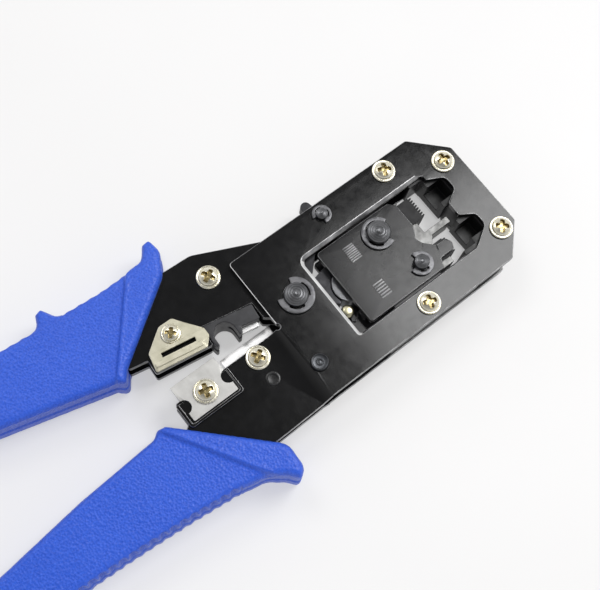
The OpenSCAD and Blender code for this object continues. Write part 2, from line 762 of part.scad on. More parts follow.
module carriage_pin_large() {
    rear_face = 2 * z_mid - car_face;
    color(clip_steel) grooved_pin(pin_large_at, pin_large_r, rear_face - 1.7, z_front + 2.4,
        rear_face - 0.95, car_face + 0.05);
}

module carriage_pin_small() {
    rear_face = 2 * z_mid - car_face;
    color(clip_steel) grooved_pin(pin_small_at, pin_small_r, rear_face - 1.6, z_front + 1.9,
        rear_face - 0.95, car_face + 0.05);
}

module carriage_clips_large() {
    rear_face = 2 * z_mid - car_face;
    color(clip_steel) {
        e_clip(pin_large_at, car_face + 0.1, 5.7, pin_large_r, -19);
        e_clip(pin_large_at, rear_face - 0.9, 5.7, pin_large_r, 19);
    }
}

module carriage_clips_small() {
    rear_face = 2 * z_mid - car_face;
    color(clip_steel) {
        e_clip(pin_small_at, car_face + 0.1, 4.25, pin_small_r, 140);
        e_clip(pin_small_at, rear_face - 0.9, 4.25, pin_small_r, 220);
    }
}

module roller_pin() {
    color(clip_steel) hole(roller_at, roller_pin_r, 2 * z_mid - car_in - 0.9, car_in + 0.9);
}

// ---- Pieces that turn by themselves ----

// Roller on the carriage that the cam pushes
module cam_roller() {
    color(clip_steel) difference() {
        hole(roller_at, roller_r, z_mid - roller_half, z_mid + roller_half);
        hole(roller_at, roller_pin_r + fit);
    }
}

// Pawl with a nose over the ratchet teeth and a thumb nub above the head
module ratchet_pawl() {
    half = 2.4;
    nub = [pawl_at[0] - 0.9, pawl_at[1] + 6.6];
    color(grey_black) difference() {
        union() {
            hole(pawl_at, 3.6, z_mid - half, z_mid + half);
            hole(nub, 1.8, z_mid - half, z_mid + half);
            slab(z_mid - half, z_mid + half, [
                pawl_at + [-2.7, 0], pawl_at + [2.4, 0], nub + [1.8, 0], nub + [-1.8, 0]]);
            slab(z_mid - half, z_mid + half, [
                pawl_at + [0.3, -3.58], pawl_at + [0, 3.4], [15.4, 18.6], [13.7, 16.3], [15.1, 15]]);
        }
        hole(pawl_at, pawl_pin_r + fit);
    }
}

head_front_plate();
head_rear_plate();
die_nest_block();
upper_guide_bar();
lower_guide_bar();
head_screws();
head_nuts();
main_pivot_pin();
main_pivot_clips();
pawl_pin();
pawl_pin_clips();
pawl_spring();
lower_rivet();
eyelet_rivet();
spring_anchor_screw();
carriage_return_spring();
lower_arm_spacer();
cutter_seat();
cutter_blade();
cutter_screw();
strip_blade();
strip_blade_screw();
lower_arm_nuts();
lower_grip();
upper_arm_front_plate();
upper_arm_rear_plate();
cam_ratchet_plate();
upper_arm_spacer();
upper_arm_screw();
flat_stripper_plate();
flat_stripper_screw();
upper_arm_nuts();
round_strip_guide();
upper_strip_blade();
upper_grip();
carriage_front_plate();
carriage_rear_plate();
carriage_core();
die_block();
contact_comb_8();
contact_comb_6();
carriage_pin_large();
carriage_pin_small();
carriage_clips_large();
carriage_clips_small();
roller_pin();
cam_roller();
ratchet_pawl();
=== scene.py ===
import json
import math

import bmesh
import bpy
from mathutils import Matrix, Vector, kdtree, noise

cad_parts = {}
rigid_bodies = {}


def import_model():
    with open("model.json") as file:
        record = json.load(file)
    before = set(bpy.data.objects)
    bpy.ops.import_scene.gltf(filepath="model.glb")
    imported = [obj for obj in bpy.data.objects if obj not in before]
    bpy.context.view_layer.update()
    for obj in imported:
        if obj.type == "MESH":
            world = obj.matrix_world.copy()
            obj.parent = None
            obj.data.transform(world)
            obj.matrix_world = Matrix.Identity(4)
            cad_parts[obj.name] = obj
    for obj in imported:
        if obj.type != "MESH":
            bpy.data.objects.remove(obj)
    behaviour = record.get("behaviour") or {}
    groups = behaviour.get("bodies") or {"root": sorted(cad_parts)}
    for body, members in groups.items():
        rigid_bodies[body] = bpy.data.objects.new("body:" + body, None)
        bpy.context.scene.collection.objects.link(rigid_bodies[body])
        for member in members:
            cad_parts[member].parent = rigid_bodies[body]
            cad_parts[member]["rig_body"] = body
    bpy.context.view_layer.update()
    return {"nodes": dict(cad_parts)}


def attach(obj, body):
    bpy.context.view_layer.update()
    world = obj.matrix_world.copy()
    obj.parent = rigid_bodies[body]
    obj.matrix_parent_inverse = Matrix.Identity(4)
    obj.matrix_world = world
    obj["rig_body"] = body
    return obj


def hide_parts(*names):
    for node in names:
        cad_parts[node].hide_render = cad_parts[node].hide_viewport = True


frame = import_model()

# Lengths below are millimetres; MM turns them into the frame's metres.
MM = 0.001
Z_MID = 8.6              # middle plane of the tool
Z_FRONT = 15.6           # front face of the head
ARM_TOP = 13.3           # front face of both arms
HEAD_LEFT = -10.8        # the head plate's left edge
GRIP_DEPTH = 17.0
GRIP_MID = GRIP_DEPTH / 2
BEVEL_FROM = 40          # edges sharper than this many degrees are eased
BEND_FROM = 20           # and those between the two stay as crisp bend lines


# ---- Materials ----

class Shade:
    """A Principled material with its texture coordinates, in the frame's metres."""

    def __init__(self, name, metallic=0.0, coat=0.0, specular=0.5):
        self.material = bpy.data.materials.new(name)
        self.material.use_nodes = True
        self.tree = self.material.node_tree
        self.shader = self.tree.nodes["Principled BSDF"]
        self.shader.inputs["Metallic"].default_value = metallic
        self.shader.inputs["Coat Weight"].default_value = coat
        self.shader.inputs["Coat Roughness"].default_value = 0.25
        self.shader.inputs["Specular IOR Level"].default_value = specular
        self.coords = self.tree.nodes.new("ShaderNodeTexCoord").outputs["Object"]

    def node(self, kind, **settings):
        made = self.tree.nodes.new(kind)
        for key, value in settings.items():
            setattr(made, key, value)
        return made

    def link(self, a, b):
        self.tree.links.new(a, b)

    def place(self, scale=(1, 1, 1), turn=0.0):
        m = self.node("ShaderNodeMapping")
        m.inputs["Scale"].default_value = scale
        m.inputs["Rotation"].default_value = (0, 0, math.radians(turn))
        self.link(self.coords, m.inputs["Vector"])
        return m.outputs["Vector"]

    def noise(self, scale, detail=3.0, rough=0.5, at=None):
        n = self.node("ShaderNodeTexNoise")
        n.inputs["Scale"].default_value = scale
        n.inputs["Detail"].default_value = detail
        n.inputs["Roughness"].default_value = rough
        self.link(at or self.coords, n.inputs["Vector"])
        return n.outputs["Fac"]

    def cells(self, scale):
        n = self.node("ShaderNodeTexVoronoi", feature="SMOOTH_F1")
        n.inputs["Scale"].default_value = scale
        n.inputs["Smoothness"].default_value = 0.5
        self.link(self.coords, n.inputs["Vector"])
        return n.outputs["Distance"]

    def spread(self, value, low, high, a=0.3, b=0.7):
        m = self.node("ShaderNodeMapRange")
        for key, v in (("From Min", a), ("From Max", b), ("To Min", low), ("To Max", high)):
            m.inputs[key].default_value = v
        self.link(value, m.inputs["Value"])
        return m.outputs["Result"]

    def ramp(self, value, stops):
        r = self.node("ShaderNodeValToRGB")
        e = r.color_ramp.elements
        while len(e) < len(stops):
            e.new(0.5)
        for item, (at, rgb) in zip(e, stops):
            item.position = at
            item.color = (*rgb, 1)
        self.link(value, r.inputs["Fac"])
        return r.outputs["Color"]

    def blend(self, factor, a, b):
        m = self.node("ShaderNodeMix", data_type="RGBA")
        self.link(factor, m.inputs["Factor"])
        self.link(a, m.inputs[6])
        self.link(b, m.inputs[7])
        return m.outputs[2]

    def colour(self, out):
        self.link(out, self.shader.inputs["Base Color"])

    def rough(self, out):
        self.link(out, self.shader.inputs["Roughness"])

    def bump(self, heights):
        last = None
        for height, distance in heights:
            b = self.node("ShaderNodeBump")
            b.inputs["Strength"].default_value = 1.0
            b.inputs["Distance"].default_value = distance
            self.link(height, b.inputs["Height"])
            if last:
                self.link(last, b.inputs["Normal"])
            last = b.outputs["Normal"]
        self.link(last, self.shader.inputs["Normal"])

    def attribute(self, name):
        return self.node("ShaderNodeAttribute", attribute_name=name).outputs["Fac"]


def painted(name, dark, light, rough_low, rough_high, specular=0.25):
    """Coated steel: faint clouding, fine orange peel and uneven gloss."""
    s = Shade(name, specular=specular)
    s.colour(s.ramp(s.noise(90, 4), [(0.3, dark), (0.7, light)]))
    s.rough(s.spread(s.noise(420, 4), rough_low, rough_high))
    s.bump([(s.noise(1300, 2), 0.000004), (s.noise(4200, 2), 0.000003)])
    return s.material


def metal(name, dark, light, rough_low, rough_high, grain=(900, 900, 900), turn=0.0,
          depth=0.000006):
    """Bare or plated metal with its grain stretched along one direction."""
    s = Shade(name, metallic=1.0)
    lines = s.noise(1.0, 4, 0.6, s.place(grain, turn))
    s.colour(s.ramp(s.noise(260, 4), [(0.3, dark), (0.7, light)]))
    s.rough(s.spread(lines, rough_low, rough_high))
    s.bump([(lines, depth), (s.noise(2600, 2), depth * 0.6)])
    return s.material


def plastic_blue():
    s = Shade("grip_blue", specular=0.45)
    pebble = s.cells(1250)
    base = s.ramp(s.noise(70, 3), [(0.3, (0.018, 0.078, 0.520)), (0.7, (0.025, 0.096, 0.590))])
    low = s.ramp(s.noise(1500, 2), [(0.3, (0.012, 0.058, 0.430)), (0.7, (0.036, 0.118, 0.650))])
    s.colour(s.blend(s.spread(pebble, 0.15, 0.75, 0.1, 0.6), base, low))
    s.rough(s.spread(s.noise(900, 3), 0.34, 0.50))
    s.bump([(pebble, 0.00018), (s.noise(3200, 2), 0.00004)])
    return s.material


def plastic_black():
    s = Shade("guide_black", specular=0.5)
    s.colour(s.ramp(s.noise(300, 3), [(0.3, (0.012, 0.012, 0.014)), (0.7, (0.030, 0.030, 0.034))]))
    s.rough(s.spread(s.noise(700, 3), 0.34, 0.5))
    s.bump([(s.noise(1700, 3), 0.000016)])
    return s.material


def zinc_screw():
    """Bright plating with a yellow tint, and a painted shade that darkens it down in the cross recess."""
    s = Shade("zinc_plate", metallic=1.0)
    plate = s.ramp(s.noise(380, 4), [(0.3, (0.80, 0.75, 0.58)), (0.7, (0.93, 0.90, 0.78))])
    deep = s.ramp(s.noise(900, 3), [(0.3, (0.20, 0.15, 0.06)), (0.7, (0.46, 0.38, 0.20))])
    # Painted shade: the darker colour follows the recess's depth.
    s.colour(s.blend(s.spread(s.attribute("recess"), 0, 1, 0.15, 0.75), plate, deep))
    s.rough(s.spread(s.noise(800, 4), 0.20, 0.36))
    s.bump([(s.noise(2600, 2), 0.000004)])
    return s.material


BLACK = painted("satin_black", (0.0024, 0.0024, 0.0026), (0.0042, 0.0042, 0.0047), 0.14, 0.20, 0.42)
# Painted highlight: a lighter colour for the eased edges of the black plates.
BLACK_EDGE = metal("black_edge_painted_highlight", (0.14, 0.14, 0.144), (0.44, 0.44, 0.445), 0.30, 0.42)
# Painted highlight: the lightest colour, for the window's left chamfer and the head's left edge.
RIM_HIGHLIGHT = painted("window_rim_painted_highlight", (0.42, 0.42, 0.423), (0.80, 0.80, 0.80), 0.34, 0.46, 0.6)
MATT_BLACK = painted("matt_black", (0.004, 0.004, 0.0045), (0.009, 0.009, 0.010), 0.42, 0.55, 0.3)
NEST_BLACK = painted("nest_black", (0.003, 0.003, 0.0033), (0.007, 0.007, 0.0075), 0.26, 0.40, 0.24)
GREY_BLACK = painted("satin_grey_black", (0.0065, 0.0065, 0.007), (0.011, 0.011, 0.012), 0.18, 0.25, 0.30)
# Painted highlight: a lighter colour for the carriage's eased edges and its bars' tops.
GREY_EDGE = metal("grey_edge_painted_highlight", (0.11, 0.11, 0.113), (0.26, 0.26, 0.264), 0.34, 0.46)
DARK_STEEL = metal("blackened_steel", (0.03, 0.03, 0.032), (0.06, 0.06, 0.064), 0.35, 0.55)
CLIP_STEEL = metal("phosphated_steel", (0.105, 0.105, 0.111), (0.165, 0.165, 0.172), 0.38, 0.52)
PIN_STEEL = metal("turned_steel", (0.11, 0.112, 0.118), (0.19, 0.192, 0.20), 0.28, 0.42)
RIVET = metal("blackened_rivet", (0.05, 0.053, 0.058), (0.10, 0.104, 0.112), 0.26, 0.40)
EYELET = painted("eyelet_black", (0.006, 0.006, 0.0065), (0.014, 0.014, 0.015), 0.25, 0.35, 0.5)
ZINC = zinc_screw()
ZINC_SHEET = metal("zinc_sheet", (0.48, 0.46, 0.35), (0.65, 0.62, 0.50), 0.40, 0.52,
                   grain=(120, 1400, 600), turn=9)
GROUND = metal("ground_steel", (0.47, 0.465, 0.45), (0.58, 0.575, 0.56), 0.46, 0.58,
               grain=(1600, 90, 600))
POLISHED = metal("polished_blade", (0.84, 0.83, 0.82), (0.93, 0.93, 0.93), 0.34, 0.46,
                 grain=(1600, 90, 600))
DIE = metal("die_steel", (0.16, 0.16, 0.157), (0.32, 0.32, 0.315), 0.42, 0.60,
            grain=(700, 700, 700), depth=0.00002)
BRASS = metal("brass_turned", (0.50, 0.47, 0.32), (0.68, 0.64, 0.46), 0.26, 0.4)
GUIDE = plastic_black()
BLUE = plastic_blue()


# ---- Pieces ----

def add(name, mesh, material, body, nodes, smooth=40.0):
    mesh.materials.clear()
    mesh.materials.append(material)
    obj = bpy.data.objects.new(name, mesh)
    bpy.context.scene.collection.objects.link(obj)
    for p in mesh.polygons:
        p.use_smooth = True
    if smooth:
        mesh.set_sharp_from_angle(angle=math.radians(smooth))
    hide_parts(*nodes)
    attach(obj, body)
    return obj


def body_of(node):
    return frame["nodes"][node]["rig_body"]


def apply_modifiers(obj):
    mesh = bpy.data.meshes.new_from_object(obj.evaluated_get(bpy.context.evaluated_depsgraph_get()))
    old = obj.data
    obj.modifiers.clear()
    obj.data = mesh
    bpy.data.meshes.remove(old)


def refine(node, material, width=0.15, segments=2, choose=None, edge=None):
    """The CAD node's own shape with its edges eased and, when an edge colour is given, a painted
    highlight on the eased edges.
    """
    mesh = frame["nodes"][node].data.copy()
    bm = bmesh.new()
    bm.from_mesh(mesh)
    bmesh.ops.remove_doubles(bm, verts=bm.verts, dist=2e-6)
    if width:
        bmesh.ops.dissolve_limit(bm, angle_limit=math.radians(0.4), verts=bm.verts, edges=bm.edges)
        weight = bm.edges.layers.float.new("bevel_weight_edge")
        for e in bm.edges:
            angle = math.degrees(e.calc_face_angle(0))
            e.smooth = not BEND_FROM < angle <= BEVEL_FROM
            if angle > BEVEL_FROM:
                mid = (e.verts[0].co + e.verts[1].co) / 2 / MM
                e[weight] = (choose(mid) if choose else width) / width
    bm.to_mesh(mesh)
    bm.free()
    obj = add(node + "_finished", mesh, material, body_of(node), [node], 0 if width else 40)
    if width:
        if edge:
            mesh.materials.append(edge)
        m = obj.modifiers.new("ease", "BEVEL")
        m.limit_method = "WEIGHT"
        m.width = width * MM
        m.segments = segments
        m.use_clamp_overlap = False
        m.loop_slide = False
        # The eased edges take the edge colour, a painted highlight.
        m.material = 1 if edge else -1
        obj.modifiers.new("split", "TRIANGULATE").min_vertices = 5
        m = obj.modifiers.new("even", "WEIGHTED_NORMAL")
        m.keep_sharp = True
        m.weight = 90
        bpy.context.view_layer.update()
        apply_modifiers(obj)
    return obj


class Build:
    """Collects the points and faces of one piece, in millimetres."""

    def __init__(self):
        self.points = []
        self.faces = []
        self.deep = []

    def point(self, at, x, y, z, push):
        sunk = push(x, y, z) if push else 0.0
        self.points.append((at[0] + x, at[1] + y, z - sunk))
        self.deep.append(sunk)

    def lathe(self, at, profile, n=72, push=None):
        """Turns (radius, z) points, from the lower end of the axis to its upper end."""
        rings = []
        for r, z in profile:
            if r == 0:
                rings.append([len(self.points)])
                self.point(at, 0, 0, z, push)
                continue
            ring = []
            for k in range(n):
                x, y = r * math.cos(2 * math.pi * k / n), r * math.sin(2 * math.pi * k / n)
                ring.append(len(self.points))
                self.point(at, x, y, z, push)
            rings.append(ring)
        for a, b in zip(rings, rings[1:]):
            if len(a) == 1:
                self.faces += [(a[0], b[(k + 1) % n], b[k]) for k in range(n)]
            elif len(b) == 1:
                self.faces += [(a[k], a[(k + 1) % n], b[0]) for k in range(n)]
            else:
                self.faces += [(a[k], a[(k + 1) % n], b[(k + 1) % n], b[k]) for k in range(n)]

    def mesh(self, name):
        mesh = bpy.data.meshes.new(name)
        mesh.from_pydata([[c * MM for c in p] for p in self.points], [], self.faces)
        mesh.validate()
        bm = bmesh.new()
        bm.from_mesh(mesh)
        bmesh.ops.recalc_face_normals(bm, faces=bm.faces)
        bm.to_mesh(mesh)
        bm.free()
        layer = mesh.attributes.new("recess", "FLOAT", "POINT")
        layer.data.foreach_set("value", self.deep)
        return mesh


def soft_step(v, a, b):
    t = min(1.0, max(0.0, (v - a) / (b - a)))
    return t * t * (3 - 2 * t)


def cross_recess(radius, depth, turn, floor):
    """Depth of a tapered cross recess below a screw head's surface."""
    c, s = math.cos(math.radians(turn)), math.sin(math.radians(turn))

    def push(x, y, z):
        if z < floor:
            return 0.0
        u, v, r = x * c + y * s, y * c - x * s, math.hypot(x, y)
        reach = 1 - soft_step(r, radius * 0.50, radius * 0.60)
        w = radius * (0.115 + 0.05 * (1 - r / radius))
        wall = w + radius * 0.05
        arm = max(1 - soft_step(abs(u), w, wall), 1 - soft_step(abs(v), w, wall))
        middle = 1 - soft_step(r, radius * 0.20, radius * 0.30)
        return depth * max(arm * reach * (0.62 + 0.38 * (1 - r / radius)), middle * 0.9)
    return push


def pan_head(build, at, z, z_end, radius, height, shank, turn):
    """Pan head: a flat rim, a narrow groove and a crowned middle with the recess."""
    sphere = (radius * radius + height * height) / (2 * height) * 1.25
    rim = height - sphere + math.sqrt(sphere * sphere - radius * radius)
    profile = [(0, z_end), (shank - 0.35, z_end), (shank, z_end + 0.35), (shank, z),
               (radius - 0.12, z), (radius, z + 0.12), (radius, z + rim - 0.30),
               (radius - 0.07, z + rim - 0.12), (radius - 0.2, z + rim - 0.04)]
    steps = 44
    for i in range(1, steps):
        r = (radius - 0.25) * (1 - i / steps)
        crown = height - sphere + math.sqrt(sphere * sphere - r * r) - 0.04
        flange = soft_step(r / radius, 0.76, 0.86)
        groove = 0.12 * math.exp(-((r / radius - 0.81) / 0.04) ** 2)
        profile.append((r, z + crown * (1 - flange) + (rim + 0.02) * flange - groove))
    profile.append((0, z + height - 0.04))
    build.lathe(at, profile, 96, cross_recess(radius, height * 0.62, turn, z + rim + 0.15))


def screws(node, material, places):
    b = Build()
    for at, z, z_end, r, h, shank, turn in places:
        pan_head(b, at, z, z_end, r, h, shank, turn)
    add(node + "_finished", b.mesh(node), material, body_of(node), [node], 38)


M4 = (4, 2.5, 1.95)      # head radius, head height and shank radius
M3 = (3.2, 1.8, 1.45)
SEAT_TOP = ARM_TOP + 1.1
STRIPPER_TOP = ARM_TOP + 0.8
ARM_SCREW_END = 2

screws("head_screws", ZINC, [((50.6, 16.85), Z_FRONT, 0, *M4, 62), ((69.3, 7.8), Z_FRONT, 0, *M4, 84),
                             ((69.3, -22.1), Z_FRONT, 0, *M4, 50), ((32.8, -27.5), Z_FRONT, 0, *M4, 70)])
screws("cutter_screw", ZINC, [((-41.1, -7.5), SEAT_TOP, ARM_SCREW_END, 4, 2.2, 1.95, 74)])
screws("strip_blade_screw", ZINC, [((-21.6, -8.5), ARM_TOP, ARM_SCREW_END, *M4, 35)])
screws("upper_arm_screw", ZINC, [((-18.2, 22.1), ARM_TOP, ARM_SCREW_END, *M4, 28)])
screws("flat_stripper_screw", ZINC, [((-38.8, 13.9), STRIPPER_TOP, ARM_SCREW_END, *M3, 48)])


def turned_pin(node, at, r, z0, z1, low, high, material=PIN_STEEL):
    """Grooved pin whose domed end carries turning rings and a small centre."""
    g = r * 0.78
    k = r / 4
    dome = [(1.0, 1.5), (0.985, 1.2), (0.95, 0.95), (0.88, 0.78), (0.80, 0.66), (0.765, 0.72),
            (0.73, 0.60), (0.60, 0.46), (0.565, 0.52), (0.53, 0.40), (0.38, 0.28), (0.345, 0.34),
            (0.31, 0.22), (0.17, 0.10), (0.13, 0.0), (0.07, 0.0)]
    clip = 0.9
    profile = [(0, z0), (r - 0.5, z0), (r - 0.15, z0 + 0.1), (r, z0 + 0.3), (r, low), (g, low),
               (g, low + clip), (r, low + clip), (r, high), (g, high), (g, high + clip), (r, high + clip)]
    span = min(1.0, max(0.0, (z1 - high - 1.0) / (1.5 * k)))
    profile += [(r * f, z1 - d * k * span) for f, d in dome] + [(0, z1 - 0.06 * k)]
    b = Build()
    b.lathe(at, profile, 80)
    add(node + "_finished", b.mesh(node), material, body_of(node), [node], 30)


turned_pin("main_pivot_pin", (0, 0), 4, 0, 18.6, 0.65, Z_FRONT + 0.05)
turned_pin("pawl_pin", (24, 16.9), 2, 0.3, 17.8, 0.65, Z_FRONT + 0.05)
turned_pin("carriage_pin_large", (35.2, 0.9), 4, 1.1, 18.0, 1.85, 14.45)
turned_pin("carriage_pin_small", (39.9, -15.5), 2.5, 1.2, 17.5, 1.85, 14.45)

def turned(node, at, profile, material, n=64):
    """A small turned part whose profile is given point by point."""
    b = Build()
    b.lathe(at, profile, n)
    add(node + "_finished", b.mesh(node), material, body_of(node), [node], 30)


turned("lower_rivet", (-7.6, -21.7), [
    (0, 0.8), (2.4, 0.8), (2.7, 0.95), (2.8, 1.15), (2.8, 1.6), (2, 1.6), (2, Z_FRONT), (2.85, Z_FRONT),
    (2.85, 16.2), (2.75, 16.38), (2.5, 16.5), (2.25, 16.44), (2.1, 16.3), (1.7, 16.24), (1.25, 16.26),
    (1.1, 16.4), (0.9, 16.48), (0.65, 16.4), (0.45, 16.28), (0.2, 16.3), (0, 16.34)], RIVET, 72)
# Painted shade: the eyelet's hole is closed by a shallow dark dish that stands in for the dark inside of
# the hole.
turned("eyelet_rivet", (-21.9, -16.6), [
    (0, 3.6), (1.5, 3.6), (1.6, 3.9), (2.35, 3.9), (2, 4.0), (2, ARM_TOP), (2.35, ARM_TOP), (2.3, 13.5),
    (2.1, 13.6), (1.75, 13.58), (1.55, 13.4), (1.5, 12.9), (0, 12.7)], EYELET)
turned("spring_anchor_screw", (11.3, -13.2), [
    (0, 6.2), (1.1, 6.2), (1.3, 6.4), (1.3, 10.8), (2.1, 10.8), (2.2, 10.9), (2.2, 11.3), (2.1, 11.6),
    (1.8, 11.95), (1.4, 12.2), (0.9, 12.3), (0, 12.35)], BRASS)


def window_rim(x, y):
    """The chamfer round the head's window."""
    return 7.5 < x < 60.8 and -23.2 < y < 9.9


for name in ("head_front_plate", "head_rear_plate"):
    head = refine(name, BLACK, 0.2, 2, edge=BLACK_EDGE)
    head.data.materials.append(RIM_HIGHLIGHT)
    # Painted highlight: the window's left chamfer and the head's left edge take the lightest colour, and
    # the rest of the rim takes the edge colour.
    for p in head.data.polygons:
        x, y = p.center.x / MM, p.center.y / MM
        if window_rim(x, y) and (p.material_index == 1 or 0.3 < abs(p.normal.z) < 0.95):
            p.material_index = 2 if x < 9.4 else 1
        elif p.material_index == 1 and x < HEAD_LEFT + 0.5 and y > 1.5:
            p.material_index = 2
for name in ("upper_arm_front_plate", "upper_arm_rear_plate"):
    refine(name, BLACK, 0.15, 2, edge=BLACK_EDGE)


MARK_FOOT = 14.3         # just below the face that the raised bars stand on


def carriage_edge(mid):
    """Wide easing on the carriage plate's outline, a fine one on its raised bars."""
    on_bars = -18.5 < mid.y < -10.5 or -3 < mid.y < 4.5
    return 0.07 if 21.5 < mid.x < 26.9 and mid.z > MARK_FOOT and on_bars else 0.25


plate = refine("carriage_front_plate", GREY_BLACK, 0.25, 2, carriage_edge, GREY_EDGE)
# Painted highlight: the raised bars' tops take the lighter edge colour.
for p in plate.data.polygons:
    if p.center.z > 14.5 * MM:
        p.material_index = 1
refine("carriage_rear_plate", GREY_BLACK, 0.25, 2, edge=GREY_EDGE)
refine("die_nest_block", NEST_BLACK, 0.15, edge=MATT_BLACK)
refine("cutter_seat", BLACK, 0.15, edge=BLACK_EDGE)
for name in ("upper_guide_bar", "lower_guide_bar", "carriage_core"):
    refine(name, GREY_BLACK, 0.15)
for name in ("lower_arm_spacer", "upper_arm_spacer", "cam_ratchet_plate", "ratchet_pawl"):
    refine(name, DARK_STEEL, 0.15)
for name in ("contact_comb_8", "contact_comb_6"):
    refine(name, MATT_BLACK, 0.06)
refine("die_block", DIE, 0.12)
refine("round_strip_guide", GUIDE, 0.25, 3)
refine("flat_stripper_plate", ZINC_SHEET, 0.12, 3)
refine("cutter_blade", GROUND, 0.05)
refine("strip_blade", POLISHED, 0.05)
refine("upper_strip_blade", POLISHED, 0.05)
refine("cam_roller", PIN_STEEL, 0.3, 3)
refine("roller_pin", PIN_STEEL, 0.2)
for name in ("head_nuts", "lower_arm_nuts", "upper_arm_nuts"):
    refine(name, ZINC, 0.2, 3)
for name in ("main_pivot_clips", "pawl_pin_clips", "carriage_clips_large", "carriage_clips_small"):
    refine(name, CLIP_STEEL, 0.1)
for name in ("pawl_spring", "carriage_return_spring"):
    refine(name, CLIP_STEEL, 0)


# ---- Grips ----

def corner(p0, p1, p2, n=8):
    """The points of the arc that rounds the corner at p1, whose third value is its radius."""
    at, radius = Vector(p1[:2]), p1[2]
    a, b = (Vector(p0[:2]) - at).normalized(), (Vector(p2[:2]) - at).normalized()
    half = math.acos(max(-1, min(1, a.dot(b)))) / 2
    c = at + (a + b).normalized() * radius / math.sin(half)
    s, f = at + a * radius / math.tan(half) - c, at + b * radius / math.tan(half) - c
    a0 = math.atan2(s.y, s.x)
    turn = (math.atan2(f.y, f.x) - a0 + 3 * math.pi) % (2 * math.pi) - math.pi
    angles = [a0 + turn * i / n for i in range(n + 1)]
    return [c + radius * Vector((math.cos(t), math.sin(t))) for t in angles]


def rounded(points, n=8):
    out = []
    for i, p in enumerate(points):
        out += corner(points[i - 1], p, points[(i + 1) % len(points)], n) if p[2] else [Vector(p[:2])]
    return out


def prism(name, outline, z0, z1):
    bm = bmesh.new()
    low = [bm.verts.new((p.x * MM, p.y * MM, z0 * MM)) for p in outline]
    face = bm.faces.new(low)
    made = bmesh.ops.extrude_face_region(bm, geom=[face])
    top = [v for v in made["geom"] if isinstance(v, bmesh.types.BMVert)]
    bmesh.ops.translate(bm, vec=(0, 0, (z1 - z0) * MM), verts=top)
    bmesh.ops.recalc_face_normals(bm, faces=bm.faces)
    mesh = bpy.data.meshes.new(name)
    bm.to_mesh(mesh)
    bm.free()
    obj = bpy.data.objects.new(name, mesh)
    bpy.context.scene.collection.objects.link(obj)
    return obj


def grip(node, outline, hollow, step, waves, half_t=GRIP_MID, edge_r=2.4):
    """Moulded sleeve: rounded edges, a raised collar, a parting line and a pebbled skin."""
    body = prism(node + "_finished", outline, 0.0, GRIP_DEPTH)
    inner = prism(node + "_hollow", hollow, 2 * Z_MID - ARM_TOP, ARM_TOP)
    m = body.modifiers.new("hollow", "BOOLEAN")
    m.operation, m.object, m.solver = "DIFFERENCE", inner, "EXACT"
    m = body.modifiers.new("even", "REMESH")
    m.mode, m.voxel_size = "VOXEL", 0.45 * MM
    bpy.context.view_layer.update()
    apply_modifiers(body)
    bpy.data.objects.remove(inner)
    mesh = body.data

    dense = []
    for i, p in enumerate(outline):
        q = outline[(i + 1) % len(outline)]
        n = max(1, int((q - p).length / 0.15))
        dense += [p + (q - p) * k / n for k in range(n)]
    area = sum(p.x * q.y - q.x * p.y for p, q in zip(dense, dense[1:] + dense[:1]))
    tree = kdtree.KDTree(len(dense))
    for i, p in enumerate(dense):
        tree.insert((p.x, p.y, 0), i)
    tree.balance()
    inward = []
    for i in range(len(dense)):
        t = (dense[(i + 3) % len(dense)] - dense[i - 3]).normalized()
        inward.append(Vector((-t.y, t.x)) if area > 0 else Vector((t.y, -t.x)))
    (ax, ay), (bx, by), side = step
    length = math.hypot(bx - ax, by - ay)

    for v in mesh.vertices:
        x, y, z = v.co.x / MM, v.co.y / MM, v.co.z / MM
        _, index, d = tree.find((x, y, 0))
        dz = z - GRIP_MID
        over = side * ((bx - ax) * (y - ay) - (by - ay) * (x - ax)) / length
        collar = soft_step(over, -0.2, 0.2)
        ridge = 0.25 * math.exp(-((over - 0.6) / 0.5) ** 2)
        top = half_t - 1.3 * (1 - collar) - 0.25 + ridge
        d = min(d, edge_r)
        skin = top - edge_r + math.sqrt(max(0.0, edge_r ** 2 - (edge_r - d) ** 2))
        keep = 4.95
        if abs(dz) > keep:
            dz = math.copysign(keep + (abs(dz) - keep) * (skin - keep) / (GRIP_MID - keep), dz)
        if d < 1.2:
            n = inward[index]
            wall = 1 - d / 1.2
            pull = 0.55 * math.exp(-((dz + 0.6) / 0.35) ** 2) + (0.3 if dz > -0.6 else 0.0)
            pull += waves(x, y, dz)
            x, y = x + n.x * pull * wall, y + n.y * pull * wall
        v.co = (x * MM, y * MM, (GRIP_MID + dz) * MM)
    mesh.update()
    bm = bmesh.new()
    bm.from_mesh(mesh)
    outer = [v for v in bm.verts if abs(v.co.z / MM - GRIP_MID) > 5.2
             or tree.find((v.co.x / MM, v.co.y / MM, 0))[2] < 0.9]
    bmesh.ops.smooth_vert(bm, verts=outer, factor=0.4, use_axis_x=True, use_axis_y=True, use_axis_z=True)
    bm.normal_update()
    moves = []
    for v in outer:
        p = v.co / MM
        grain = noise.noise(p * 1.35) * 0.7 + noise.noise(p * 2.6 + Vector((9, 4, 1))) * 0.5
        moves.append((v, v.normal.copy() * (grain - 0.45) * 0.055 * MM))
    for v, move in moves:
        v.co += move
    for v in bm.verts:
        v.co.z = min(max(v.co.z, 0.0), GRIP_DEPTH * MM)
    bm.to_mesh(mesh)
    bm.free()
    mesh.materials.clear()
    mesh.materials.append(BLUE)
    for p in mesh.polygons:
        p.use_smooth = True
    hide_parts(node)
    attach(body, body_of(node))


def grip_edge(x):
    """The fixed grip's outer edge, a shallow curve along the handle."""
    return -32.6 - 6.1 * ((x + 134.0) / 87.0) ** 2


